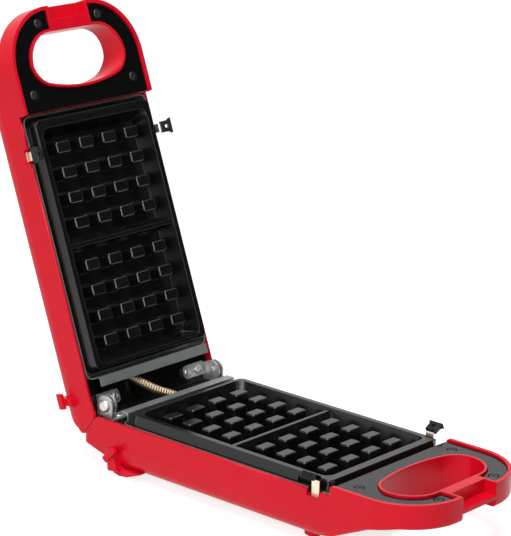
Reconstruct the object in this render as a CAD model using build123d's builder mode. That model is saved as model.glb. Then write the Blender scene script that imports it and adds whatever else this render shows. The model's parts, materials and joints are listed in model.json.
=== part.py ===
# Two-slice snack maker with loop handles, open at its stop.
# Both halves are drawn closed in one half frame: x across, y toward the hinge, z up,
# with the hinge axis at y = 0, z = 0 and the parting plane at z = 0.
# The lid half is the same frame turned over and swung open about the hinge.
import math
import os

from build123d import *

os.makedirs("parts", exist_ok=True)

# Driving dimensions, mm
plate_width = 123.0
plate_length = 194.5
plate_rear_y = -28.0
hinge_height = 50.0
open_angle = 110.55
base_depth = 44.0
lid_depth = 39.5
body_half_width = 69.4
handle_front_y = -307.8
handle_corner_radius = 46.0
nose_corner_radius = 5.0
base_nose_y = 16.6
lid_nose_y = 19.2
base_ramp_drop = -3.0
lid_ramp_drop = 2.0
nose_cap_thickness = 2.2
nose_cap_gap = 0.3
wall = 2.2
sole_corner = 10.5
side_taper = 1.8
taper_top = -27.0
sheet = 0.8

# Heights in the half frame
lip_top = -0.2
rim_top = -8.0
cover_top = -1.8
cover_thickness = 2.2
handle_floor = -19.0
fit_gap = 0.3
running_gap = 0.05

# Handle step and the wall between the plate bay and the handle
bay_front_y = -228.0
lip_width = 3.0
grip_lip = 2.0
handle_arc_y = -262.8

# Plate
plate_gap = 0.15
cavity_depth = 14.5
plate_wall = 2.6
plate_floor_thickness = 3.0
skirt_spread = 2.64
skirt_drop = 10.35
skirt_wall = 2.4
skirt_corner = 8.0
cavity_inset_side = 4.6
cavity_inset_front = 6.6
cavity_inset_rear = 2.8
floor_inset_side = 4.4
floor_inset_front = 7.5
floor_inset_rear = 4.2
peg_foot_x = 16.8
peg_foot_y = 11.2
peg_height = 13.0
peg_taper = 5.3
peg_pitch_x = 24.8
peg_pitch_y = 19.8
peg_first_row = 46.45
divider_foot = 10.5
divider_crest = 3.0

# Tray
tray_half_width = 66.8
tray_front_y = -227.4
tray_rear_y = -21.2
tray_top = -7.4
tray_floor = -25.0
tray_corner = 6.0
flange_top = -1.0
flange_rear_y = -14.5
flange_half_width = 60.0

# Hinge
ear_radius = 8.0
base_ear_x = 61.2
base_ear_thickness = 1.8
lid_ear_x = 57.6
lid_ear_thickness = 1.8
pin_radius = 2.5
slot_side_gap = 0.4

# Release clips
clip_y_base = -212.7
clip_y_lid = -197.7
clip_pin_x = 65.5
clip_pin_z = -14.0
clip_pin_radius = 0.9
clip_leaf_width = 7.0
clip_curl_radius = 1.5
blade_x = 65.6
blade_thickness = 0.8
tongue_tilt = 27.0
tongue_length = 8.6
paddle_length = 9.3
paddle_thickness = 2.2

# Hinge panel
panel_top = -11.6
panel_thickness = 2.0
panel_half_width = 66.3
bracket_top = -9.4
bracket_thickness = 1.8

# Feet
foot_bottom = -48.2
pad_radius = 5.0
pad_recess = 3.5

plate_front_y = plate_rear_y - plate_length
plate_mid_y = plate_rear_y - plate_length / 2
plate_top = -plate_gap
cavity_front_y = plate_front_y + cavity_inset_front
cavity_rear_y = plate_rear_y - cavity_inset_rear
cavity_mid_y = (cavity_front_y + cavity_rear_y) / 2
plate_under = plate_top - cavity_depth - plate_floor_thickness
cover_under = cover_top - cover_thickness
panel_under = panel_top - panel_thickness
ramp_slope = math.tan(math.radians(open_angle / 2))


# Outlines in plan, all looking down on the half frame

def body_plan(nose_y, inset):
    """Outer outline of a half, moved inward by inset."""
    half = body_half_width - inset
    front = handle_front_y + inset
    radius = handle_corner_radius - inset
    rear = nose_y - inset
    corner = nose_corner_radius - inset
    with BuildSketch() as plan:
        with BuildLine():
            Polyline((0, rear), (half - corner, rear))
            RadiusArc((half - corner, rear), (half, rear - corner), corner)
            Line((half, rear - corner), (half, front + radius))
            RadiusArc((half, front + radius), (half - radius, front), radius)
            Line((half - radius, front), (0, front))
            mirror(about=Plane.YZ)
        make_face()
    return plan.sketch


def grip_plan(grow):
    """Finger hole at its raised lip, grown or shrunk: bowed rear edge and round corners."""
    half = 51.4
    rear = -241.1
    front = -290.8
    radius = 27.0
    with BuildSketch() as plan:
        with BuildLine():
            ThreePointArc((0, rear), (18, rear - 1.2), (36, rear - 4.8))
            ThreePointArc((36, rear - 4.8), (47.0, rear - 12.0), (half, rear - 22.0))
            Line((half, rear - 22.0), (half, front + radius))
            RadiusArc((half, front + radius), (half - radius, front), radius)
            Line((half - radius, front), (0, front))
            mirror(about=Plane.YZ)
        make_face()
        if grow != 0:
            offset(amount=grow, kind=Kind.INTERSECTION, mode=Mode.REPLACE)
    return plan.sketch


def ramp_height(across, drop):
    """Height of a half's stop ramp at one station along the body."""
    return -across * ramp_slope + drop


def handle_side_outline(depth):
    """Outer side view of a half with its nose end left square."""
    with BuildSketch() as view:
        with BuildLine():
            Polyline(
                (handle_front_y - 4, lip_top),
                (bay_front_y, lip_top),
                (bay_front_y, rim_top),
                (40.0, rim_top),
                (40.0, -depth),
                (-203.0, -depth),
                (-228.0, -depth + 4.5),
                (-262.0, -24.0),
                (-284.0, handle_floor),
                (handle_front_y - 4, handle_floor),
                close=True,
            )
        make_face()
        round_corner(view, bay_front_y, lip_top, 2.0)
        round_corner(view, -203.0, -depth, 40.0)
        round_corner(view, -228.0, -depth + 4.5, 25.0)
        round_corner(view, -262.0, -24.0, 30.0)
        round_corner(view, -284.0, handle_floor, 30.0)
    return view.sketch


def nose_side_outline(depth, nose_y, drop, toe, tip_radius, toe_radius):
    """Side view that shapes the nose: rim, stop ramp, tip, toe and underside."""
    ramp_start = (drop - rim_top) / ramp_slope
    with BuildSketch() as view:
        with BuildLine():
            Polyline(
                (-400.0, 20.0),
                (-120.0, 20.0),
                (-120.0, rim_top),
                (ramp_start, rim_top),
                (nose_y, ramp_height(nose_y, drop)),
                *toe,
                (-28.0, -depth),
                (-120.0, -depth),
                (-120.0, -80.0),
                (-400.0, -80.0),
                close=True,
            )
        make_face()
        round_corner(view, ramp_start, rim_top, 5.0)
        round_corner(view, nose_y, ramp_height(nose_y, drop), tip_radius)
        for across, height in toe:
            round_corner(view, across, height, toe_radius)
        round_corner(view, -28.0, -depth, 40.0)
    return view.sketch


def round_corner(view, across, height, radius):
    """Round the corner of a side view nearest to one point."""
    corner = view.vertices().sort_by_distance((across, height, 0))[0]
    fillet(corner, radius)


def inner_outline(depth):
    """Side view of the hollow: plate bay open at the top, handle hollow under its cover."""
    floor = -depth + wall
    with BuildSketch() as view:
        with BuildLine():
            Polyline(
                (bay_front_y, 12.0),
                (1.6, 12.0),
                (1.6, -15.0),
                (8.5, -25.0),
                (8.5, -27.5),
                (-28.0, floor),
                (-203.0, floor),
                (bay_front_y, floor + 5.0),
                close=True,
            )
        make_face()
        with BuildLine():
            Polyline(
                (bay_front_y - lip_width, cover_under),
                (bay_front_y - lip_width, -depth + 10.5),
                (-263.0, -24.0 + wall),
                (-285.0, handle_floor + wall),
                (handle_front_y - 4, handle_floor + wall),
                (handle_front_y - 4, cover_under),
                close=True,
            )
        make_face()
    return view.sketch


def cross_outline(depth, inset=0.0):
    """Cross section of a half: slightly tapered sides and round bottom corners."""
    half = body_half_width - inset
    sole = half - side_taper
    floor = -depth + inset
    with BuildSketch() as view:
        with BuildLine():
            Polyline(
                (half, 12.0),
                (half, taper_top),
                (sole, floor),
                (-sole, floor),
                (-half, taper_top),
                (-half, 12.0),
                close=True,
            )
        make_face()
        round_corner(view, sole, floor, sole_corner - inset)
        round_corner(view, -sole, floor, sole_corner - inset)
    return view.sketch


def box(x0, x1, y0, y1, z0, z1, mode=Mode.ADD):
    """Block between two corners, added to or cut from the part being built."""
    with BuildSketch(Plane((0, 0, z0), z_dir=(0, 0, 1), x_dir=(1, 0, 0))) as foot:
        with Locations(((x0 + x1) / 2, (y0 + y1) / 2)):
            Rectangle(x1 - x0, y1 - y0)
    extrude(foot.sketch, amount=z1 - z0, dir=(0, 0, 1), mode=mode)


def both_boxes(x0, x1, y0, y1, z0, z1, mode=Mode.ADD):
    """The same block on the right and on the left."""
    box(x0, x1, y0, y1, z0, z1, mode)
    box(-x1, -x0, y0, y1, z0, z1, mode)


def posts(places, radius, z0, z1, mode=Mode.ADD):
    """Round posts or bores at a list of places, between two heights."""
    with BuildSketch(Plane((0, 0, z0), z_dir=(0, 0, 1), x_dir=(1, 0, 0))) as foot:
        with Locations(*places):
            Circle(radius)
    extrude(foot.sketch, amount=z1 - z0, dir=(0, 0, 1), mode=mode)


def cross_pin(y, z, radius, x0, x1, mode=Mode.ADD):
    """Round bar along X between two stations."""
    with BuildSketch(Plane((x0, 0, 0), x_dir=(0, 1, 0), z_dir=(1, 0, 0))) as end:
        with Locations((y, z)):
            Circle(radius)
    extrude(end.sketch, amount=x1 - x0, dir=(1, 0, 0), mode=mode)


def long_pin(x, z, radius, y0, y1, mode=Mode.ADD):
    """Round bar along Y between two stations."""
    with BuildSketch(Plane((0, y0, 0), x_dir=(1, 0, 0), z_dir=(0, -1, 0))) as end:
        with Locations((x, z)):
            Circle(radius)
    extrude(end.sketch, amount=y1 - y0, dir=(0, 1, 0), mode=mode)


cover_screw_places = [(53.8, -242.4), (-53.8, -242.4), (32.2, -295.8), (-32.2, -295.8)]
tray_screw_places = [(56.0, -205.0), (-56.0, -205.0), (56.0, -48.0), (-56.0, -48.0)]
bracket_screw_places = [(40.6, -3.7), (52.2, -3.7), (-40.6, -3.7), (-52.2, -3.7)]
lamp_places = [(10.0, -196.0), (-10.0, -196.0)]
recess_half_width = 19.5
recess_rear_y = -296.9
recess_floor = -10.0
bar_thickness = 3.0


def nose_cap_outline(drop, nose_y, grow):
    """Side view of the dark cap over a stop nose, or of its seat when grown."""
    start = (drop - nose_cap_gap - rim_top + 0.2) / ramp_slope
    end = nose_y - 2.0 + grow
    steep = math.radians(open_angle / 2)
    deep = nose_cap_thickness + grow
    inner_y = -deep * math.sin(steep)
    inner_z = -deep * math.cos(steep)
    line = drop - nose_cap_gap
    tip = ramp_height(end, line)
    roof = [(start - 1.4, rim_top - 0.2), (start, rim_top - 0.2)]
    if grow > 0:
        roof = [(start - 1.4 - grow, 12.0), (end, 12.0)]
    with BuildSketch() as view:
        with BuildLine():
            Polyline(
                (start - 1.4 - grow, panel_under - grow),
                *roof,
                (end, tip),
                (end + inner_y, tip + inner_z),
                (start + 1.6 - grow, panel_under - grow),
                close=True,
            )
        make_face()
    return view.sketch


def housing(depth, clip_y, nose_y, drop, toe, tip_radius, toe_radius):
    """Moulded shell of a half: plate bay, hollow loop handle, stop nose and clip pockets."""
    floor = -depth + wall
    with BuildPart() as shell:
        with BuildSketch(Plane.XY.offset(-60)):
            add(body_plan(nose_y, 0))
        extrude(amount=60)
        with BuildSketch(Plane.YZ):
            add(handle_side_outline(depth))
        extrude(amount=100, both=True, mode=Mode.INTERSECT)
        under = [e for e in shell.edges() if e.center().Y < -230 and e.center().Z < -15]
        under = [e for e in under if abs(e.center().X) > 20 or e.center().Y < -300]
        under = [e for e in under if abs(e.tangent_at(0.5).Z) < 0.93]
        fillet(under, 3.0)
        with BuildSketch(Plane.YZ):
            add(nose_side_outline(depth, nose_y, drop, toe, tip_radius, toe_radius))
        extrude(amount=100, both=True, mode=Mode.INTERSECT)
        with BuildSketch(Plane.XZ):
            add(cross_outline(depth))
        extrude(amount=400, both=True, mode=Mode.INTERSECT)
        # hollow
        with BuildPart(mode=Mode.PRIVATE) as hollow:
            with BuildSketch(Plane.XY.offset(-60)):
                add(body_plan(nose_y, wall))
            extrude(amount=70)
            with BuildSketch(Plane.YZ):
                add(inner_outline(depth))
            extrude(amount=body_half_width, both=True, mode=Mode.INTERSECT)
            with BuildSketch(Plane.XZ):
                add(cross_outline(depth, wall))
            extrude(amount=400, both=True, mode=Mode.INTERSECT)
            with BuildSketch(Plane.XY.offset(-60)):
                add(grip_plan(0))
            extrude(amount=70, mode=Mode.SUBTRACT)
            box(-recess_half_width - wall, recess_half_width + wall,
                handle_front_y, -287.0, -60, 10, Mode.SUBTRACT)
        add(hollow.part, mode=Mode.SUBTRACT)
        # seat of the handle cover
        with BuildSketch(Plane.XY.offset(cover_under)):
            add(body_plan(nose_y, lip_width))
            add(grip_plan(grip_lip - lip_width), mode=Mode.SUBTRACT)
            with Locations((0, bay_front_y + 150.5)):
                Rectangle(160, 300, mode=Mode.SUBTRACT)
            with Locations((0, -300)):
                Rectangle(2 * (recess_half_width + wall), 24, mode=Mode.SUBTRACT)
        extrude(amount=10, mode=Mode.SUBTRACT)
        # finger hole
        with BuildSketch(Plane.XY.offset(-60)):
            add(grip_plan(-lip_width))
        extrude(amount=70, mode=Mode.SUBTRACT)
        # front recess with its bar
        box(-recess_half_width, recess_half_width, handle_front_y - 2, recess_rear_y,
            recess_floor, 5, Mode.SUBTRACT)
        box(-recess_half_width, recess_half_width, handle_front_y - 2, recess_rear_y,
            -60, recess_floor - bar_thickness, Mode.SUBTRACT)
        # posts for the cover screws and for the tray screws
        posts(cover_screw_places[:2], 3.6, -29.0, cover_under - 0.1)
        posts(cover_screw_places[2:], 3.6, handle_floor + 1, cover_under - 0.1)
        posts(cover_screw_places, 1.5, -16.0, 0, Mode.SUBTRACT)
        posts(tray_screw_places, 4.0, floor - 1, tray_floor - sheet - fit_gap)
        posts(tray_screw_places, 1.5, floor + 3, tray_floor, Mode.SUBTRACT)
        # seat of the dark cap over the nose
        with BuildSketch(Plane.YZ):
            add(nose_cap_outline(drop, nose_y, 0.3))
        extrude(amount=panel_half_width + 0.3, both=True, mode=Mode.SUBTRACT)
        seat_half = panel_half_width + 0.3
        box(-seat_half, seat_half, 0.5, (drop - rim_top) / ramp_slope - 0.2,
            panel_under - 0.3, 12, Mode.SUBTRACT)
        # slots for the hinge ears
        both_boxes(lid_ear_x - slot_side_gap, base_ear_x + base_ear_thickness + slot_side_gap,
                   -8.6, 8.6, -12.0, 5, Mode.SUBTRACT)
        # ledges for the hinge brackets
        posts(bracket_screw_places, 3.6, -32.3, panel_under - fit_gap)
        posts(bracket_screw_places, 1.5, -26.0, 0, Mode.SUBTRACT)
        # clip pockets: rim notch, thinner wall and lugs for the pin
        both_boxes(66.0, 72.0, clip_y - 5.6, clip_y + 5.6, -12.6, 0, Mode.SUBTRACT)
        both_boxes(63.0, 67.6, clip_y - 6.2, clip_y - 4.0, -16.4, -12.0)
        both_boxes(63.0, 67.6, clip_y + 4.0, clip_y + 6.2, -16.4, -12.0)
        long_pin(clip_pin_x, clip_pin_z, clip_pin_radius + 0.03, clip_y - 5.6, clip_y + 7, Mode.SUBTRACT)
        long_pin(-clip_pin_x, clip_pin_z, clip_pin_radius + 0.03, clip_y - 5.6, clip_y + 7, Mode.SUBTRACT)
    return shell.part


def handle_cover():
    """Flat cover of the loop handle, open at the front recess."""
    with BuildPart() as cover:
        with BuildSketch(Plane.XY.offset(cover_under)):
            add(body_plan(base_nose_y, lip_width + fit_gap))
            add(grip_plan(grip_lip - lip_width + fit_gap), mode=Mode.SUBTRACT)
            with Locations((0, bay_front_y - 0.4 + 150)):
                Rectangle(160, 300, mode=Mode.SUBTRACT)
            with Locations((0, -300)):
                Rectangle(2 * (recess_half_width + wall + fit_gap), 25, mode=Mode.SUBTRACT)
            fillet(vertices().group_by(Axis.Y)[-1], 4.0)
        extrude(amount=cover_thickness)
        chamfer(cover.faces().sort_by(Axis.Z)[-1].outer_wire().edges(), 0.4)
        posts(cover_screw_places, 4.0, cover_top - 1.3, 0, Mode.SUBTRACT)
        posts(cover_screw_places, 1.8, -10, 0, Mode.SUBTRACT)
    return cover.part


def pan_screws(places, head_under, length, radius=3.5, rise=1.2):
    """Pan-head screws with a cross recess, heads up."""
    with BuildPart() as screws:
        posts(places, radius, head_under, head_under + rise)
        chamfer(screws.faces().filter_by(Axis.Z).group_by(Axis.Z)[-1].edges(), rise * 0.4)
        posts(places, 1.45, head_under - length, head_under + 0.1)
        for x, y in places:
            box(x - 1.9, x + 1.9, y - 0.4, y + 0.4, head_under + rise - 0.6, 5, Mode.SUBTRACT)
            box(x - 0.4, x + 0.4, y - 1.9, y + 1.9, head_under + rise - 0.6, 5, Mode.SUBTRACT)
    return screws.part


def grid_plate():
    """Coated cooking plate: flared skirt, deep pan, two by sixteen pegs and a divider."""
    taper = math.degrees(math.atan(skirt_spread / skirt_drop))
    skirt_x = plate_width + 2 * skirt_spread
    skirt_y = plate_length + 2 * skirt_spread
    skirt_bottom = plate_top - skirt_drop
    rim_centre_y = cavity_mid_y
    open_x = plate_width - 2 * cavity_inset_side
    open_y = cavity_rear_y - cavity_front_y
    floor_x = open_x - 2 * floor_inset_side
    floor_y = open_y - floor_inset_front - floor_inset_rear
    floor_mid = cavity_mid_y + (floor_inset_front - floor_inset_rear) / 2
    rows = [rim_centre_y + side * (peg_first_row + step * peg_pitch_y)
            for side in (-1, 1) for step in (-1.5, -0.5, 0.5, 1.5)]
    columns = [peg_pitch_x * step for step in (-1.5, -0.5, 0.5, 1.5)]
    with BuildPart() as pegs:
        with BuildSketch(Plane.XY.offset(plate_top - cavity_depth)):
            with Locations(*[(x, y) for x in columns for y in rows]):
                RectangleRounded(peg_foot_x, peg_foot_y, 2.9)
        extrude(amount=peg_height, taper=peg_taper)
        chamfer(pegs.faces().filter_by(Axis.Z).group_by(Axis.Z)[-1].edges(), 0.7)
    with BuildPart() as plate:
        with BuildSketch(Plane.XY.offset(skirt_bottom)):
            with Locations((0, plate_mid_y)):
                RectangleRounded(skirt_x, skirt_y, skirt_corner)
        extrude(amount=skirt_drop, taper=taper)
        with BuildSketch(Plane.XY.offset(skirt_bottom)):
            with Locations((0, plate_mid_y)):
                RectangleRounded(skirt_x - 2 * skirt_wall, skirt_y - 2 * skirt_wall, skirt_corner - 2)
        extrude(amount=skirt_drop - plate_wall, taper=taper, mode=Mode.SUBTRACT)
        with BuildSketch(Plane.XY.offset(plate_under)):
            with Locations((0, floor_mid)):
                RectangleRounded(floor_x + 2 * plate_wall, floor_y + 2 * plate_wall, 7.0)
        with BuildSketch(Plane.XY.offset(plate_top - 1)):
            with Locations((0, cavity_mid_y)):
                RectangleRounded(open_x + 2 * plate_wall, open_y + 2 * plate_wall, 9.0)
        loft(ruled=True)
        with BuildSketch(Plane.XY.offset(plate_top - cavity_depth)):
            with Locations((0, floor_mid)):
                RectangleRounded(floor_x, floor_y, 5.0)
        with BuildSketch(Plane.XY.offset(plate_top)):
            with Locations((0, cavity_mid_y)):
                RectangleRounded(open_x, open_y, 7.0)
        loft(ruled=True, mode=Mode.SUBTRACT)
        # divider across the middle
        with BuildSketch(Plane.YZ):
            with BuildLine():
                Polyline(
                    (cavity_mid_y - divider_foot / 2, plate_top - cavity_depth - 0.5),
                    (cavity_mid_y - divider_crest / 2, plate_top - cavity_depth + peg_height),
                    (cavity_mid_y + divider_crest / 2, plate_top - cavity_depth + peg_height),
                    (cavity_mid_y + divider_foot / 2, plate_top - cavity_depth - 0.5),
                    close=True,
                )
            make_face()
        extrude(amount=open_x / 2 - 1.0, both=True)
        add(pegs.part)
        # catch pockets in both sides, backed by a solid wall
        both_boxes(58.5, 62.0, -221.5, -192.0, plate_top - 8.8, plate_top - 1.0)
        both_boxes(61.7, 66.0, -219.5, -193.5, plate_top - 8.6, plate_top - 1.9, Mode.SUBTRACT)
    return plate.part


def tray(clip_y):
    """Sheet steel reflector pan under a plate, with the rear flange at rim height."""
    outer_y = tray_rear_y - tray_front_y
    mid_y = (tray_rear_y + tray_front_y) / 2
    with BuildPart() as pan:
        with BuildSketch(Plane.XY.offset(tray_floor - sheet)):
            with Locations((0, mid_y)):
                RectangleRounded(2 * tray_half_width, outer_y, tray_corner)
        extrude(amount=tray_top - tray_floor + sheet)
        with BuildSketch(Plane.XY.offset(tray_floor)):
            with Locations((0, mid_y)):
                RectangleRounded(2 * (tray_half_width - sheet), outer_y - 2 * sheet, tray_corner - sheet)
        extrude(amount=40, mode=Mode.SUBTRACT)
        box(-flange_half_width, flange_half_width, tray_rear_y - sheet, tray_rear_y,
            tray_top - 2, flange_top)
        box(-flange_half_width, flange_half_width, tray_rear_y - sheet, flange_rear_y,
            flange_top - sheet, flange_top)
        both_boxes(62.8, 70.0, clip_y - 6.6, clip_y + 6.6, -17.2, 0, Mode.SUBTRACT)
        posts(tray_screw_places, 1.8, -40, tray_floor + 5, Mode.SUBTRACT)
    return pan.part


def hinge_panel(conduit_at, nose_y, drop):
    """Dark inner panel behind the plate, with the cap that covers the stop nose."""
    start = (drop - nose_cap_gap - rim_top + 0.2) / ramp_slope
    with BuildPart() as panel:
        box(-panel_half_width, panel_half_width, -20.8, start - 0.2, panel_under, panel_top)
        with BuildSketch(Plane.YZ):
            add(nose_cap_outline(drop, nose_y, 0))
        extrude(amount=panel_half_width, both=True)
        both_boxes(lid_ear_x - slot_side_gap, base_ear_x + base_ear_thickness + slot_side_gap,
                   -8.6, 8.6, -12.0, 5, Mode.SUBTRACT)
        posts(bracket_screw_places, 1.8, -20, 0, Mode.SUBTRACT)
        posts([(conduit_at, conduit_hole_y)], conduit_radius + 1.0, -20, 0, Mode.SUBTRACT)
    return panel.part


def hinge_bracket(side, ear_x, ear_thickness, bore):
    """Sheet bracket: round ear on the hinge axis and a flange screwed to the panel."""
    with BuildPart() as bracket:
        near = side * ear_x
        far = side * (ear_x + ear_thickness)
        x0, x1 = min(near, far), max(near, far)
        cross_pin(0, 0, ear_radius, x0, x1)
        box(x0, x1, -ear_radius, ear_radius, bracket_top - bracket_thickness, 0)
        inner = side * 36.5
        box(min(inner, far), max(inner, far), -9.0, 1.6,
            bracket_top - bracket_thickness, bracket_top)
        ends = bracket.edges().filter_by(Axis.Z).filter_by(lambda e: abs(e.center().X) < 37)
        fillet(ends, 3.0)
        posts([p for p in bracket_screw_places if p[0] * side > 0], 1.8, -20, 0, Mode.SUBTRACT)
        cross_pin(0, 0, bore, x0 - 1, x1 + 1, Mode.SUBTRACT)
    return bracket.part


def hinge_rivet(side):
    """Shouldered rivet: domed outer head, spacer collar and a flat inner head."""
    outer = base_ear_x + base_ear_thickness
    spans = [
        (lid_ear_x - 2.0, lid_ear_x - fit_gap, 4.2),
        (lid_ear_x - 1.0, outer + 1.0, pin_radius),
        (lid_ear_x + lid_ear_thickness + fit_gap, base_ear_x - 0.1, 4.2),
        (outer + 0.1, outer + 3.0, 5.0),
    ]
    with BuildPart() as rivet:
        for near, far, radius in spans:
            cross_pin(0, 0, radius, min(side * near, side * far), max(side * near, side * far))
        rim = rivet.edges().filter_by(GeomType.CIRCLE).sort_by(Axis.X)[-1 if side > 0 else 0]
        fillet(rim, 2.6)
    return rivet.part


def tongue_point(along, up):
    """Point on a right-hand clip's tilted tongue, from its bend."""
    tilt = math.radians(tongue_tilt)
    across = blade_x + blade_thickness + along * math.cos(tilt) - up * math.sin(tilt)
    return across, 0.4 + along * math.sin(tilt) + up * math.cos(tilt)


def clip_leaf(side, clip_y):
    """Spring steel catch: rolled eye on its pin, upright blade and a tongue bent outward."""
    back = Plane((0, clip_y - clip_leaf_width / 2, 0), x_dir=(1, 0, 0), z_dir=(0, -1, 0))
    with BuildPart() as leaf:
        long_pin(clip_pin_x, clip_pin_z, clip_curl_radius,
                 clip_y - clip_leaf_width / 2, clip_y + clip_leaf_width / 2)
        with BuildSketch(back) as band:
            with BuildLine():
                Polyline(
                    (blade_x, clip_pin_z),
                    (blade_x, 0.4),
                    tongue_point(0, blade_thickness),
                    tongue_point(tongue_length, blade_thickness),
                    tongue_point(tongue_length, 0),
                    tongue_point(0, 0),
                    (blade_x + blade_thickness, clip_pin_z),
                    close=True,
                )
            make_face()
        extrude(band.sketch, amount=clip_leaf_width, dir=(0, 1, 0))
        long_pin(clip_pin_x, clip_pin_z, clip_pin_radius + running_gap,
                 clip_y - 5, clip_y + 5, Mode.SUBTRACT)
        with BuildSketch(paddle_plane(clip_y, -2.0)):
            with Locations((5.2, 0)):
                Circle(1.5)
        extrude(amount=4, mode=Mode.SUBTRACT)
    return leaf.part if side > 0 else leaf.part.mirror(Plane.YZ)


def paddle_plane(clip_y, lift):
    """Plane of a right-hand paddle's underside, x outward along the tongue."""
    tilt = math.radians(tongue_tilt)
    across, height = tongue_point(0.3, blade_thickness + 0.05 + lift)
    return Plane((across, clip_y, height), x_dir=(math.cos(tilt), 0, math.sin(tilt)),
                 z_dir=(-math.sin(tilt), 0, math.cos(tilt)))


def clip_paddle(side, clip_y):
    """Finger paddle of a clip with flared outer corners and a small hole."""
    reach = paddle_length
    with BuildPart() as paddle:
        with BuildSketch(paddle_plane(clip_y, 0)):
            with BuildLine():
                Polyline(
                    (0, -4.4),
                    (reach - 3.4, -4.6),
                    (reach - 1.0, -6.2),
                    (reach, -6.2),
                    (reach, 6.2),
                    (reach - 1.0, 6.2),
                    (reach - 3.4, 4.6),
                    (0, 4.4),
                    close=True,
                )
            make_face()
            with Locations((4.9, 0)):
                Circle(1.5, mode=Mode.SUBTRACT)
        extrude(amount=paddle_thickness)
        chamfer(paddle.faces().filter_by(lambda f: f.normal_at().Z > 0.8)[0].outer_wire().edges(), 0.5)
    return paddle.part if side > 0 else paddle.part.mirror(Plane.YZ)


def clip_pins(clip_y):
    """The two pivot pins of a half."""
    with BuildPart() as pins:
        for side in (-1, 1):
            long_pin(side * clip_pin_x, clip_pin_z, clip_pin_radius, clip_y - 5.5, clip_y + 6.4)
    return pins.part


def heating_element():
    """Tubular heating element bent in a long loop under the plate, tails to the rear."""
    with BuildPart() as element:
        with BuildLine() as loop:
            FilletPolyline((-36, -40, -21.4), (-36, -206, -21.4), (36, -206, -21.4), (36, -40, -21.4), radius=16)
        with BuildSketch(Plane((-36, -40, -21.4), z_dir=(0, -1, 0))):
            Circle(3.0)
        sweep(path=loop.line)
        long_pin(-36, -21.4, 1.2, -41, -31)
        long_pin(36, -21.4, 1.2, -41, -31)
    return element.part


def thermostat():
    """Snap-disc thermostat clipped under the lower tray."""
    with BuildPart() as disc:
        posts([(0, -125)], 8.5, -34.0, -26.2)
        box(-12, 12, -128, -122, -32.5, -31.0)
        box(-14, -10, -127, -123, -33, -30)
        box(10, 14, -127, -123, -33, -30)
    return disc.part


def thermal_fuse():
    """Axial thermal fuse beside the thermostat."""
    with BuildPart() as fuse:
        long_pin(26, -28.0, 2.0, -132, -119)
        long_pin(26, -28.0, 0.6, -138, -113)
    return fuse.part


def terminal_block():
    """Three-way screw terminal block on the floor of the lower housing."""
    with BuildPart() as block:
        box(20, 46, -64, -50, -41.2, -32.0)
        posts([(24.5, -57), (33, -57), (41.5, -57)], 2.4, -37, -30, Mode.SUBTRACT)
        for x in (24.5, 33, 41.5):
            long_pin(x, -38.0, 1.6, -66, -48, Mode.SUBTRACT)
    return block.part


def lamp_lens(place):
    """Indicator lens: domed outside, flanged inside."""
    with BuildPart() as lens:
        posts([place], 3.9, -lid_depth - 0.8, -36.0)
        fillet(lens.faces().sort_by(Axis.Z)[0].edges(), 0.7)
        posts([place], 5.4, -36.6, -35.0)
    return lens.part


def foot_pads():
    """Four round rubber pads that carry the machine."""
    with BuildPart() as pads:
        posts(foot_places, pad_radius, -hinge_height, foot_bottom + pad_recess - fit_gap)
        chamfer(pads.faces().group_by(Axis.Z)[0].edges(), 0.6)
    return pads.part


foot_places = [(63.2, -20.5), (-63.2, -20.5), (52.0, -201.0), (-52.0, -201.0)]
conduit_base_x = 8.0
conduit_lid_x = -19.0
conduit_radius = 3.75
conduit_bore = 2.4
conduit_root = 3.35
conduit_pitch = 2.6
conduit_hole_y = -15.0
conduit_route = [(8.0, -15.0, -18.0), (8.0, -15.0, -12.2), (6.2, -12.9, -7.0), (2.4, -9.4, -3.0),
                 (-7.6, 0.0, 2.8), (-15.6, 9.2, 8.3), (-18.95, 15.4, 10.1), (-19.0, 19.0, 8.9),
                 (-19.0, 23.05, 7.37)]


def conduit():
    """Ribbed metal conduit that carries the wires across the hinge, with its bore."""
    with BuildLine() as route:
        Spline(*conduit_route)
    line = route.edges()[0]
    ribs = int(line.length / conduit_pitch)
    fractions = []
    for rib in range(ribs):
        fractions += [(rib + share) / ribs for share in (0.0, 0.22, 0.62, 0.84)]
    radii = [conduit_root, conduit_radius, conduit_radius, conduit_root] * ribs
    with BuildPart() as hose:
        for share, radius in zip(fractions, radii):
            with BuildSketch(Plane(line @ share, x_dir=(1, 0, 0), z_dir=line % share)):
                Circle(radius)
        loft(ruled=True)
        with BuildSketch(Plane(line @ 0, x_dir=(1, 0, 0), z_dir=line % 0)):
            Circle(conduit_bore)
        sweep(path=line, mode=Mode.SUBTRACT)
    return hose.part


def hook(arm, plate, mode=Mode.ADD):
    """Cord hook on both sides: an arm out of the wall and a cross plate on its end.
    Each is given by its X span, its side-view corners (y, z)."""
    for near, far, corners in (arm, plate):
        for side in (-1, 1):
            with BuildSketch(Plane((side * near, 0, 0), x_dir=(0, 1, 0), z_dir=(1, 0, 0))) as end:
                with BuildLine():
                    Polyline(*corners, close=True)
                make_face()
            extrude(end.sketch, amount=far - near, dir=(side, 0, 0))


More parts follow.
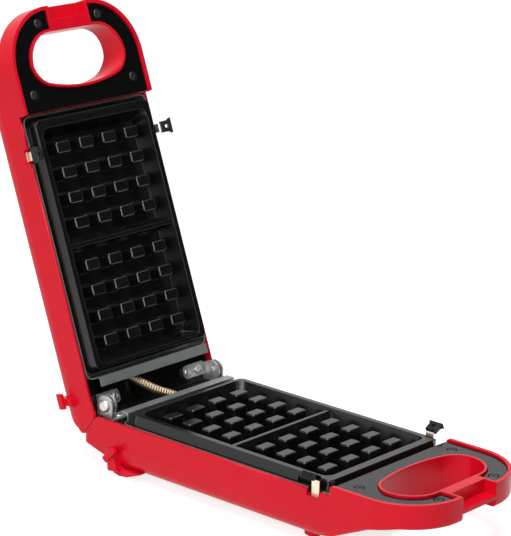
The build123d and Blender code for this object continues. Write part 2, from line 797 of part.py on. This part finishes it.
def base_shell():
    """Lower housing with feet, cord hooks and the foot recesses."""
    toe = [(14.5, -31.0)]
    with BuildPart() as shell:
        add(housing(base_depth, clip_y_base, base_nose_y, base_ramp_drop, toe, 3.5, 4.0))
        for side in (-1, 1):
            with BuildSketch(Plane((side * 56.5, 0, 0), x_dir=(0, 1, 0), z_dir=(1, 0, 0))) as foot:
                with BuildLine():
                    Polyline((-44, -42.8), (-30, foot_bottom), (-17.5, foot_bottom),
                             (-12, -43.0), (-7, -38.6), (-28, -42.8), close=True)
                make_face()
            extrude(foot.sketch, amount=13.2, dir=(side, 0, 0))
        posts(foot_places[2:], 7.0, foot_bottom, -base_depth + 1.0)
        hook(
            (66.8, 73.6, [(-12.5, -28.0), (-17.5, -27.0), (-24.0, -44.5), (-14.0, -45.5)]),
            (73.2, 76.4, [(-21.3, -24.6), (-24.0, -28.6), (-14.5, -38.6), (-10.5, -35.4)]),
        )
        posts(foot_places, pad_radius + fit_gap, foot_bottom - 1, foot_bottom + pad_recess, Mode.SUBTRACT)
    return shell.part


def lid_shell():
    """Upper housing with its cord hooks and the lamp windows."""
    toe = [(12.8, -28.2), (10.0, -31.4), (3.0, -36.0)]
    with BuildPart() as shell:
        add(housing(lid_depth, clip_y_lid, lid_nose_y, lid_ramp_drop, toe, 2.6, 3.0))
        hook(
            (66.8, 73.6, [(-4.6, -25.0), (-10.0, -25.0), (-13.0, -35.6), (-7.0, -35.6)]),
            (73.2, 76.4, [(-3.6, -31.4), (-4.4, -36.2), (-16.4, -36.2), (-15.4, -31.4)]),
        )
        posts(lamp_places, 4.2, -60, -30, Mode.SUBTRACT)
    return shell.part


# Assembly: every piece is drawn in the half frame and carried to its half
base_pieces = {
    "base_housing": base_shell(),
    "base_handle_cover": handle_cover(),
    "base_cover_screws": pan_screws(cover_screw_places, cover_top - 1.25, 9.0),
    "base_tray": tray(clip_y_base),
    "base_tray_screws": pan_screws(tray_screw_places, tray_floor + 0.05, 8.0),
    "base_plate": grid_plate(),
    "base_heating_element": heating_element(),
    "base_hinge_panel": hinge_panel(conduit_base_x, base_nose_y, base_ramp_drop),
    "base_bracket_right": hinge_bracket(1, base_ear_x, base_ear_thickness, pin_radius + 0.02),
    "base_bracket_left": hinge_bracket(-1, base_ear_x, base_ear_thickness, pin_radius + 0.02),
    "base_bracket_screws": pan_screws(bracket_screw_places, bracket_top + 0.05, 14.0),
    "hinge_rivet_right": hinge_rivet(1),
    "hinge_rivet_left": hinge_rivet(-1),
    "base_clip_pins": clip_pins(clip_y_base),
    "base_clip_leaf_right": clip_leaf(1, clip_y_base),
    "base_clip_leaf_left": clip_leaf(-1, clip_y_base),
    "base_clip_paddle_right": clip_paddle(1, clip_y_base),
    "base_clip_paddle_left": clip_paddle(-1, clip_y_base),
    "thermostat": thermostat(),
    "thermal_fuse": thermal_fuse(),
    "terminal_block": terminal_block(),
    "foot_pads": foot_pads(),
    "conduit": conduit(),
}
lid_pieces = {
    "lid_housing": lid_shell(),
    "lid_handle_cover": handle_cover(),
    "lid_cover_screws": pan_screws(cover_screw_places, cover_top - 1.25, 9.0),
    "lid_tray": tray(clip_y_lid),
    "lid_tray_screws": pan_screws(tray_screw_places, tray_floor + 0.05, 8.0),
    "lid_plate": grid_plate(),
    "lid_heating_element": heating_element(),
    "lid_hinge_panel": hinge_panel(-conduit_lid_x, lid_nose_y, lid_ramp_drop),
    "lid_bracket_right": hinge_bracket(-1, lid_ear_x, lid_ear_thickness, pin_radius + running_gap),
    "lid_bracket_left": hinge_bracket(1, lid_ear_x, lid_ear_thickness, pin_radius + running_gap),
    "lid_bracket_screws": pan_screws(bracket_screw_places, bracket_top + 0.05, 14.0),
    "lid_clip_pins": clip_pins(clip_y_lid),
    "lid_clip_leaf_right": clip_leaf(-1, clip_y_lid),
    "lid_clip_leaf_left": clip_leaf(1, clip_y_lid),
    "lid_clip_paddle_right": clip_paddle(-1, clip_y_lid),
    "lid_clip_paddle_left": clip_paddle(1, clip_y_lid),
    "power_lamp_lens": lamp_lens(lamp_places[0]),
    "ready_lamp_lens": lamp_lens(lamp_places[1]),
}
raise_up = Location((0, 0, hinge_height))
swing = raise_up * Rotation(-open_angle, 0, 0) * Rotation(0, 180, 0)
placed = {name: raise_up * piece for name, piece in base_pieces.items()}
placed |= {name: swing * piece for name, piece in lid_pieces.items()}
whole = Compound(list(placed.values())).bounding_box()
centre = Location((-(whole.min.X + whole.max.X) / 2, -(whole.min.Y + whole.max.Y) / 2, 0))
for name, piece in placed.items():
    piece = centre * piece
    piece.label = name
    export_step(piece, f"parts/{name}.step")
print("hinge axis y", round(-(whole.min.Y + whole.max.Y) / 2, 3), "z", hinge_height)
print("size", [round(v, 2) for v in (whole.size.X, whole.size.Y, whole.size.Z)])
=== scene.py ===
import json
import math

import bpy
import numpy as np
from mathutils import Matrix, Vector


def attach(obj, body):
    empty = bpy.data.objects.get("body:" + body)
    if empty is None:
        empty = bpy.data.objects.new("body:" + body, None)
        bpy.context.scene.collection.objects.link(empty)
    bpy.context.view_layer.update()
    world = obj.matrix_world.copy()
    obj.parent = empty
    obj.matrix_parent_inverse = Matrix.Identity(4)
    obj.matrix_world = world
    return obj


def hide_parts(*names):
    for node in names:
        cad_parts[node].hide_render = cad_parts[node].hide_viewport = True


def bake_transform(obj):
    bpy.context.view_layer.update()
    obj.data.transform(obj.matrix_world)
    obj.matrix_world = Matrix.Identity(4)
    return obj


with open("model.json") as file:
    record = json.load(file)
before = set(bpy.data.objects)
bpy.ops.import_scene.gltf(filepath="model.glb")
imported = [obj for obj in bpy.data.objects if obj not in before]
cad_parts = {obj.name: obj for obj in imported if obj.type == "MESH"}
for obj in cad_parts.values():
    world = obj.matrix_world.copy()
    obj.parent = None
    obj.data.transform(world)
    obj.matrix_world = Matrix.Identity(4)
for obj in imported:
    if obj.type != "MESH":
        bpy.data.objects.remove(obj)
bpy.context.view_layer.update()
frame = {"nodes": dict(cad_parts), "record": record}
nodes = frame["nodes"]
perMetre = 1000  # lengths below are in millimetres unless a note says otherwise
print("frame loaded:", len(nodes), "nodes")


# A wire wraps one output socket, so that shader maths reads as plain arithmetic.
class Wire:
    def __init__(self, shading, socket):
        self.shading = shading
        self.socket = socket

    def maths(self, operation, first, second):
        return self.shading.node("ShaderNodeMath", {"operation": operation}, {0: first, 1: second})

    def __add__(self, other):
        return self.maths("ADD", self, other)

    def __mul__(self, other):
        return self.maths("MULTIPLY", self, other)

    def __sub__(self, other):
        return self.maths("SUBTRACT", self, other)

    def __rsub__(self, other):
        return self.maths("SUBTRACT", other, self)

    __radd__ = __add__
    __rmul__ = __mul__

    def clamp(self):
        return self.shading.node("ShaderNodeClamp", {}, {0: self})


# The nodes of one material, or of the world.
class Shading:
    def __init__(self, tree):
        self.tree = tree

    # Any node: its type, its settings, then the values or wires of its sockets.
    def node(self, kind, nodeSettings, sockets, out=0):
        made = self.tree.nodes.new(kind)
        for key, value in nodeSettings.items():
            setattr(made, key, value)
        for key, value in sockets.items():
            self.feed(made.inputs[key], value)
        return Wire(self, made.outputs[out])

    def feed(self, socket, value):
        if isinstance(value, Wire):
            self.tree.links.new(value.socket, socket)
        else:
            socket.default_value = value

    # The second colour where the factor is 1, the first where it is 0.
    def mixColor(self, factor, first, second):
        sockets = {0: factor, 6: (*first, 1), 7: (*second, 1)}
        return self.node("ShaderNodeMix", {"data_type": "RGBA"}, sockets, out=2)


# Roundness and grain of every surface: more samples are smoother, more strength is rougher.
reliefSettings = {"bevelSamples": 6, "strength": 0.35}


class Paint(Shading):
    def __init__(self, name):
        self.material = bpy.data.materials.new(name)
        self.material.use_nodes = True
        super().__init__(self.material.node_tree)
        self.shader = self.tree.nodes["Principled BSDF"]
        self.place = self.node("ShaderNodeTexCoord", {}, {}, out="Object")

    def set(self, **values):
        for key, value in values.items():
            if key.endswith("Color") and not isinstance(value, Wire):
                value = (*value, 1)
            self.feed(self.shader.inputs[key.replace("_", " ")], value)

    # A cloud pattern, given its grains per metre and its detail.
    def noise(self, grains, detail):
        sockets = {"Vector": self.place, "Scale": grains, "Detail": detail}
        return self.node("ShaderNodeTexNoise", {}, sockets)

    # Rounded edges and a fine relief, both through the normal only, sizes in metres.
    def relief(self, height, depth, rounding):
        samples, strength = reliefSettings["bevelSamples"], reliefSettings["strength"]
        edge = self.node("ShaderNodeBevel", {"samples": samples}, {"Radius": rounding})
        sockets = {"Strength": strength, "Distance": depth, "Height": height, "Normal": edge}
        self.feed(self.shader.inputs["Normal"], self.node("ShaderNodeBump", {}, sockets))


# Mouldings and coatings: cloud and grain are grains per metre and detail, depth and rounding metres.
coatSettings = {
    "red_plastic": {
        "name": "redPlastic", "dark": (0.56, 0.002, 0.013), "light": (0.66, 0.003, 0.018),
        "roughness": 0.27, "spread": 0.08, "specular": 0.18,
        "cloud": (60, 3), "grain": (2600, 2), "depth": 0.00004, "rounding": 0.0007,
    },
    "black_plastic": {
        "name": "blackPlastic", "dark": (0.0025, 0.0025, 0.0025), "light": (0.004, 0.004, 0.004),
        "roughness": 0.12, "spread": 0.08, "specular": 0.24,
        "cloud": (90, 3), "grain": (2200, 2), "depth": 0.00003, "rounding": 0.0004,
    },
    "coated_aluminium": {
        "name": "plateCoating", "dark": (0.003, 0.003, 0.003), "light": (0.005, 0.005, 0.005),
        "roughness": 0.17, "spread": 0.10, "specular": 0.46,
        "cloud": (45, 3), "grain": (1500, 3), "depth": 0.00006, "rounding": 0.0006,
    },
}


def makeCoat(look):
    paint = Paint(look["name"])
    cloud = paint.noise(*look["cloud"])
    paint.set(Base_Color=paint.mixColor(cloud, look["dark"], look["light"]),
              Roughness=cloud * look["spread"] + look["roughness"],
              Specular_IOR_Level=look["specular"])
    paint.relief(paint.noise(*look["grain"]), look["depth"], look["rounding"])
    return paint.material


# Bare metals: a name, the colour and the least roughness of each, and what all of them share.
metalColors = {
    "zinc_sheet": ("zincSheet", (0.36, 0.39, 0.375), 0.40),
    "bracket_steel": ("bracketSteel", (0.47, 0.49, 0.48), 0.42),
    "spring_steel": ("springSteel", (0.88, 0.78, 0.62), 0.42),
    "conduit_steel": ("conduitSteel", (0.38, 0.29, 0.19), 0.34),
    "screw_steel": ("screwSteel", (0.62, 0.61, 0.60), 0.30),
    "dark_screw": ("darkScrew", (0.07, 0.07, 0.07), 0.34),
    "element_sheath": ("elementSheath", (0.30, 0.31, 0.30), 0.5),
    "thermostat_metal": ("thermostatMetal", (0.62, 0.62, 0.62), 0.3),
    "fuse_body": ("fuseBody", (0.55, 0.55, 0.57), 0.3),
}
metalSettings = {
    "darkShare": 0.82, "spread": 0.12,
    "cloud": (120, 4), "grain": (2400, 2), "depth": 0.000008, "rounding": 0.00018,
}


def makeMetal(name, color, roughness):
    paint = Paint(name)
    cloud = paint.noise(*metalSettings["cloud"])
    dark = tuple(channel * metalSettings["darkShare"] for channel in color)
    paint.set(Base_Color=paint.mixColor(cloud, dark, color), Metallic=1.0,
              Roughness=cloud * metalSettings["spread"] + roughness)
    grain = paint.noise(*metalSettings["grain"])
    paint.relief(grain, metalSettings["depth"], metalSettings["rounding"])
    return paint.material


# Rubber, lenses and the terminal block: one colour each, and what all of them share.
plainColors = {
    "foot_rubber": ("footRubber", (0.02, 0.02, 0.02), 0.75),
    "block_plastic": ("blockPlastic", (0.72, 0.71, 0.66), 0.5),
    "red_lens": ("redLens", (0.45, 0.01, 0.01), 0.12),
    "green_lens": ("greenLens", (0.02, 0.30, 0.06), 0.12),
}
plainSettings = {"spread": 0.1, "cloud": (200, 3), "depth": 0.00002, "rounding": 0.0003}


def makePlain(name, color, roughness):
    paint = Paint(name)
    cloud = paint.noise(*plainSettings["cloud"])
    paint.set(Base_Color=color, Roughness=cloud * plainSettings["spread"] + roughness)
    paint.relief(cloud, plainSettings["depth"], plainSettings["rounding"])
    return paint.material


finishes = {finish: makeCoat(look) for finish, look in coatSettings.items()}
finishes.update({finish: makeMetal(*look) for finish, look in metalColors.items()})
finishes.update({finish: makePlain(*look) for finish, look in plainColors.items()})
finishOf = {part["node"]: part["material_slot"] for part in frame["record"]["subparts"]}
for name, thing in nodes.items():
    for materialSlot in thing.material_slots:
        materialSlot.material = finishes[finishOf[name]]
print("materials assigned")


# A piece from rows of points: each row closes on itself, and either both end rows are capped
# or the last row meets the first.
def makePiece(name, rows, finish, capped, smooth):
    count, around = rows.shape[:2]
    corner = np.arange(count * around).reshape(count, around)
    turned = np.roll(corner, -1, axis=1)
    nextCorner, nextTurned = np.roll(corner, -1, axis=0), np.roll(turned, -1, axis=0)
    faces = np.stack([corner, turned, nextTurned, nextCorner], axis=-1)
    faces = (faces[:-1] if capped else faces).reshape(-1, 4).tolist()
    if capped:
        faces += [corner[0][::-1].tolist(), corner[-1].tolist()]
    mesh = bpy.data.meshes.new(name)
    mesh.from_pydata(rows.reshape(-1, 3).tolist(), [], faces)
    mesh.polygons.foreach_set("use_smooth", [smooth] * len(faces))
    mesh.update()
    piece = bpy.data.objects.new(name, mesh)
    bpy.context.collection.objects.link(piece)
    mesh.materials.append(finishes[finish])
    return piece


# The ribbed sleeve between the halves, from the base panel's hole to the lid panel's hole.
conduitSettings = {
    "route": [(8, 76.413, 32), (8, 76.413, 37.4), (6.2, 78.513, 42.2), (2.0, 82.013, 45.6),
              (-7.6, 90.6, 50.2), (-15.2, 99.8, 55.6), (-18.8, 106.4, 59.2),
              (-19, 110.413, 58.9), (-19, 114.463, 57.37)],
    "radius": 3.74, "ribDepth": 0.64, "ribPitch": 2.05, "ribPower": 0.7,
    "stations": 420, "around": 28,
    "bendStart": 2, "bendEnd": -2,  # two points of the route, counted from its start and from its end
}


# A smooth line through the points: each span is the cubic whose end slopes are half the step
# from the point before to the point after.
def smoothLine(points, count):
    points = np.array(points, float)
    padded = np.vstack([2 * points[0] - points[1], points, 2 * points[-1] - points[-2]])
    t = np.linspace(0, len(points) - 1 - 1e-9, count)  # stops just inside the last span
    span = t.astype(int)
    f = (t - span)[:, None]
    p0, p1, p2, p3 = (padded[span + step] for step in range(4))
    slope1, slope2 = (p2 - p0) / 2, (p3 - p1) / 2
    return ((2 * f**3 - 3 * f**2 + 1) * p1 + (f**3 - 2 * f**2 + f) * slope1
            + (3 * f**2 - 2 * f**3) * p2 + (f**3 - f**2) * slope2)


# Tube along the line: centre + radius * (side * cos a + up * sin a), where the radius rises
# on one rib that winds round as a screw thread does.
def makeConduit():
    c = conduitSettings
    line = smoothLine(c["route"], c["stations"]) / perMetre
    along = np.gradient(line, axis=0)
    length = np.cumsum(np.linalg.norm(along, axis=1))
    along /= np.linalg.norm(along, axis=1)[:, None]
    side = np.array([1.0, 0, 0]) - along * along[:, :1]
    side /= np.linalg.norm(side, axis=1)[:, None]
    up = np.cross(along, side)
    angle = np.linspace(0, 2 * math.pi, c["around"], endpoint=False)
    phase = 2 * math.pi * length[:, None] * perMetre / c["ribPitch"] - angle[None, :]
    rib = np.abs(np.cos(phase / 2)) ** c["ribPower"]
    radius = (c["radius"] - c["ribDepth"] * (1 - rib)) / perMetre
    ring = side[:, None] * np.cos(angle)[None, :, None] + up[:, None] * np.sin(angle)[None, :, None]
    rows = line[:, None] + radius[..., None] * ring
    piece = makePiece("conduitSleeve", rows, "conduit_steel", capped=True, smooth=True)
    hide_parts("conduit")
    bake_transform(piece)


makeConduit()
print("conduit made")

# Both halves are drawn lying flat, y running back to the hinge, and x counted from the middle.
halfSettings = {
    "hingeY": 91.413, "hingeZ": 50.0, "openAngle": 110.55,
    "clipY": {"base": -212.7, "lid": -197.7},
}


# The base only moves to its place. The lid is turned over and swung open about the hinge.
def placeHalf(points, half):
    x, y, z = np.moveaxis(np.asarray(points, float), -1, 0)
    if half == "lid":
        turn = math.radians(halfSettings["openAngle"])
        cos, sin = math.cos(turn), math.sin(turn)
        x, y, z = -x, y * cos - z * sin, -y * sin - z * cos
    return np.stack([x, y + halfSettings["hingeY"], z + halfSettings["hingeZ"]], axis=-1) / perMetre


# The turned-over lid has its positive x side on the left.
def handOf(half, side):
    return "right" if (side > 0) == (half == "base") else "left"


# The moulded grip on each release clip: a flared outline round the clip's tongue, with a hole
# and a turned edge.
paddleSettings = {
    "bend": (66.4, 0.4), "tilt": 27.0, "rootX": 0.5, "reach": 9.6, "rootHalf": 4.5,
    "neckHalf": 4.7, "neckRun": 3.2, "flareHalf": 6.3, "tipHalf": 6.1, "tipRun": 0.8,
    "under": -1.0, "top": 3.0, "round": 0.45, "roundShare": 0.3,
    "hole": 1.45, "holeAt": 5.2, "lip": 1.5, "lipRun": 1.6,
    "around": 96, "firstAngle": 0.001,  # off the corners, in radians
}


# Distance from the hole's centre to the outline, for a direction: where the ray from the centre
# crosses the straight edge on its bearing.
def outlineReach(angle):
    p = paddleSettings
    left, right = p["holeAt"] - p["rootX"], p["reach"] - p["holeAt"]
    half = [(-left, p["rootHalf"]), (right - p["neckRun"], p["neckHalf"]),
            (right - p["tipRun"], p["flareHalf"]), (right, p["tipHalf"])]
    corners = np.array([(along, -across) for along, across in half] + half[::-1])
    bearing = np.arctan2(corners[:, 1], corners[:, 0])
    order = np.argsort(bearing)
    corners, bearing = corners[order], bearing[order]
    after = np.searchsorted(bearing, angle) % len(corners)
    first, second = corners[after - 1], corners[after]
    edge = second - first
    ray = np.stack([np.cos(angle), np.sin(angle)], axis=-1)
    cross = ray[:, 0] * edge[:, 1] - ray[:, 1] * edge[:, 0]
    return (first[:, 0] * edge[:, 1] - first[:, 1] * edge[:, 0]) / cross


# A closed skin with one row for each turn of its section: hole edge, underside, rounded side,
# top and back to the hole. Each row is the hole's centre + reach * (cos a, sin a) at one height.
def makePaddle(half, side):
    p = paddleSettings
    angle = np.linspace(-math.pi, math.pi, p["around"], endpoint=False) + p["firstAngle"]
    outer = outlineReach(angle)
    low, high, soft = p["under"], p["top"], p["round"]
    near = soft * p["roundShare"]
    rows = []
    for reach, height in ((p["hole"], low), (outer - soft, low), (outer - near, low + near),
                          (outer, low + soft), (outer, high - soft), (outer - near, high - near),
                          (outer - soft, high), (p["hole"], high)):
        along, across = p["holeAt"] + reach * np.cos(angle), reach * np.sin(angle)
        turned = np.clip((along - p["reach"] + p["lipRun"]) / p["lipRun"], 0, 1) * p["lip"]
        rows.append(np.stack([along, across, height - turned * (height < 0)], axis=-1))
    along, across, height = np.moveaxis(np.array(rows), -1, 0)
    tilt = math.radians(p["tilt"])
    x = p["bend"][0] + along * math.cos(tilt) - height * math.sin(tilt)
    z = p["bend"][1] + along * math.sin(tilt) + height * math.cos(tilt)
    rows = placeHalf(np.stack([side * x, across + halfSettings["clipY"][half], z], axis=-1), half)
    if side < 0:
        rows = rows[::-1]  # a mirrored skin would face inwards
    hand = handOf(half, side)
    name = f"{half}Grip{hand.capitalize()}"
    piece = makePiece(name, rows, "black_plastic", capped=False, smooth=False)
    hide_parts(f"{half}_clip_paddle_{hand}")
    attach(piece, f"{half}_clip_{hand}")


for half in ("base", "lid"):
    for side in (-1, 1):
        makePaddle(half, side)
print("clip grips made")

# The bead along each long rim, which stops short of the clip on both sides of it.
beadSettings = {
    "centre": (68.3, -8.25), "radius": (1.1, 0.95), "from": -224.0, "to": -6.0,
    "clipClear": 8.5, "shortest": 2.0, "around": 32,
}


# An oval in x and z, carried straight along y: centre + (radius x * cos a, -radius z * sin a).
def makeBead(half, side):
    b = beadSettings
    angle = np.linspace(0, 2 * math.pi, b["around"], endpoint=False)
    x = b["centre"][0] + b["radius"][0] * np.cos(angle)
    z = b["centre"][1] - b["radius"][1] * np.sin(angle)
    clipY = halfSettings["clipY"][half]
    spans = {"Front": (b["from"], clipY - b["clipClear"]), "Rear": (clipY + b["clipClear"], b["to"])}
    for span, (start, end) in spans.items():
        if end - start > b["shortest"]:
            y = np.array([start, end])[:, None] + 0 * x
            rows = np.stack([side * x + 0 * y, y, z + 0 * y], axis=-1)
            if side < 0:
                rows = rows[:, ::-1]  # a mirrored skin would face inwards
            name = half + "RimBead" + span + handOf(half, side).capitalize()
            piece = makePiece(name, placeHalf(rows, half), "red_plastic", capped=True, smooth=True)
            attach(piece, half)


for half in ("base", "lid"):
    for side in (-1, 1):
        makeBead(half, side)
print("rim beads made")

# Floor, dark card and white surroundings, in metres. A strength of 1 is white.
stageSettings = {
    "floorSize": 2.6, "floorColor": (0.5, 0.5, 0.5), "floorRoughness": 0.7, "floorWhite": 0.75,
    "cardSize": (1.5, 1.1), "cardPlace": (0.95, -0.85, 0.55), "cardTarget": (0, 0.1, 0.2),
    "cardColor": (0.01, 0.01, 0.01), "cardRoughness": 0.9,
    "ambient": 0.30,  # how strongly the white surroundings light the object
}


# 1 where the camera, a reflection or a see-through piece looks at it, 0 where it only lights.
def seenDirectly(shading):
    camera, glossy, transmission = (
        shading.node("ShaderNodeLightPath", {}, {}, out=f"Is {kind} Ray")
        for kind in ("Camera", "Glossy", "Transmission"))
    return (camera + glossy + transmission).clamp()


# A flat rectangle about the origin.
def makeSheet(name, width, height, paint):
    x, y = width / 2, height / 2
    mesh = bpy.data.meshes.new(name)
    mesh.from_pydata([(-x, -y, 0), (x, -y, 0), (x, y, 0), (-x, y, 0)], [], [(0, 1, 2, 3)])
    mesh.materials.append(paint.material)
    sheet = bpy.data.objects.new(name, mesh)
    bpy.context.collection.objects.link(sheet)
    return sheet


# The turn that points an object's own -Z from its place to the target.
def turnTo(place, target):
    return Vector(np.array(target) - np.array(place)).to_track_quat("-Z", "Y").to_euler()


def makeFloor():
    s = stageSettings
    paint = Paint("paleFloor")
    glow = paint.mixColor(seenDirectly(paint), (0, 0, 0), (s["floorWhite"],) * 3)
    paint.set(Base_Color=s["floorColor"], Roughness=s["floorRoughness"],
              Emission_Color=glow, Emission_Strength=1.0)
    floor = makeSheet("floor", s["floorSize"], s["floorSize"], paint)


# A dark card to the right, hidden from the camera, which the glossy blacks mirror.
def makeCard():
    s = stageSettings
    paint = Paint("cardBlack")
    paint.set(Base_Color=s["cardColor"], Roughness=s["cardRoughness"])
    card = makeSheet("darkCard", *s["cardSize"], paint)
    card.location = s["cardPlace"]
    card.rotation_euler = turnTo(s["cardPlace"], s["cardTarget"])
    card.visible_camera = False


def makeWorld():
    world = bpy.data.worlds.new("studio")
    bpy.context.scene.world = world
    world.use_nodes = True
    background = world.node_tree.nodes["Background"]
    background.inputs["Color"].default_value = (1, 1, 1, 1)
    shading = Shading(world.node_tree)
    ambient = stageSettings["ambient"]
    shading.feed(background.inputs["Strength"], seenDirectly(shading) * (1 - ambient) + ambient)


# Square lamps, in metres and watts.
lampSettings = {
    "keyLight": {"place": (-0.3, -0.2, 2.2), "target": (0, 0, 0.1), "size": 1.3, "power": 42},
    "sideLight": {"place": (-2.0, -0.4, 1.0), "target": (0, 0, 0.12), "size": 1.2, "power": 22},
    "fillLight": {"place": (1.2, -1.6, 1.3), "target": (0, 0, 0.12), "size": 1.0, "power": 8},
    "frontLight": {"place": (-1.5, -1.35, 0.65), "target": (0, 0.05, 0.12), "size": 0.45, "power": 5},
}


def makeLamp(name, lamp):
    data = bpy.data.lights.new(name, "AREA")
    data.size = lamp["size"]
    data.energy = lamp["power"]
    thing = bpy.data.objects.new(name, data)
    bpy.context.collection.objects.link(thing)
    thing.location = lamp["place"]
    thing.rotation_euler = turnTo(lamp["place"], lamp["target"])


# Camera measured from the plate corners and pegs in the photograph: degrees, pixels for the
# focal length and picture height, millimetres for the shift and distance from the hinge.
cameraSettings = {
    "azimuth": -49.03, "elevation": 16.27, "roll": 1.50,
    "focal": 2429.0, "frameHeight": 536.0, "sensor": 36.0, "clipEnd": 30,
    "shift": (73.2, 92.8), "distance": 1896.0,
}


# Place = hinge + right * shift x + up * shift y + back * distance.
def makeCamera():
    c = cameraSettings
    azimuth, elevation, roll = (math.radians(c[key]) for key in ("azimuth", "elevation", "roll"))
    right = np.array([math.cos(azimuth), math.sin(azimuth), 0.0])
    back = np.array([math.sin(azimuth) * math.cos(elevation),
                     -math.cos(azimuth) * math.cos(elevation), math.sin(elevation)])
    up = np.cross(back, right)
    rolled = np.array([[math.cos(roll), math.sin(roll)], [-math.sin(roll), math.cos(roll)]])
    axes = np.vstack([rolled @ np.array([right, up]), back])
    data = bpy.data.cameras.new("camera")
    data.sensor_fit = "VERTICAL"
    data.sensor_height = c["sensor"]
    data.lens = c["focal"] / c["frameHeight"] * c["sensor"]
    data.clip_end = c["clipEnd"]
    camera = bpy.data.objects.new("camera", data)
    bpy.context.collection.objects.link(camera)
    hinge = np.array((0, halfSettings["hingeY"], halfSettings["hingeZ"])) / perMetre
    matrix = np.eye(4)
    matrix[:3, :3] = axes.T
    matrix[:3, 3] = axes.T @ np.array([*c["shift"], c["distance"]]) / perMetre + hinge
    camera.matrix_world = Matrix(matrix.tolist())
    bpy.context.scene.camera = camera


makeFloor()
makeWorld()
makeCard()
for name, lamp in lampSettings.items():
    makeLamp(name, lamp)
makeCamera()
bpy.context.scene.view_settings.view_transform = "Standard"
print("stage, light and camera made")
